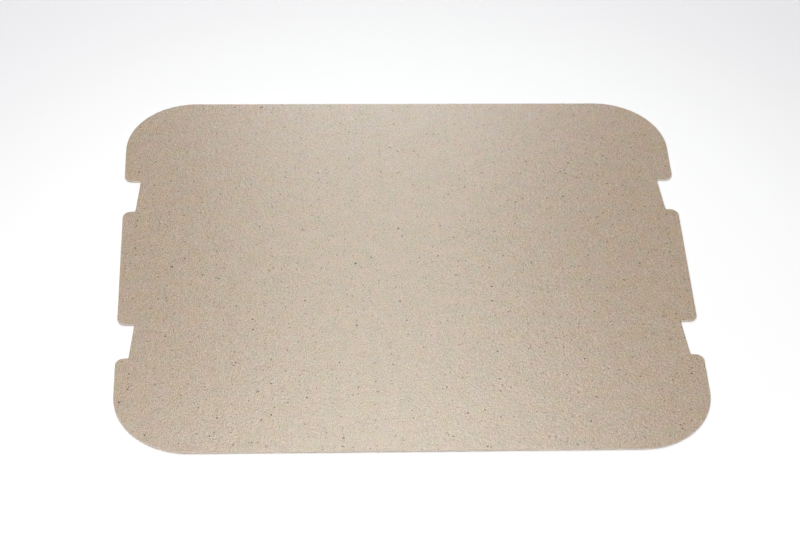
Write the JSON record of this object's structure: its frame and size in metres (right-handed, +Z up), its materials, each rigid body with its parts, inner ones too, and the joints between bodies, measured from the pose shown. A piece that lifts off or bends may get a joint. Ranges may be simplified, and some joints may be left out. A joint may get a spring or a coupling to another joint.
{
  "type": "microwave mica plate",
  "caption": "Thin flat mica sheet with large round corners and slanted notches in its short sides, used to cover the wave outlet in the wall of a microwave oven.",
  "frame": {"origin": "middle of the back face, which lies on the surface that the sheet rests on", "axes": "+X along the length, towards one notched end; +Y across the width, towards the deeper end of every notch; +Z up, out of the front face"},
  "size_m": [0.15, 0.13, 0.0005],
  "materials": {
    "mica_board": "pressed mica board, beige with fine grain and scattered dark flecks, satin"
  },
  "bodies": {
    "root": {"mica_plate": "mica_board"}
  },
  "joints": []
}
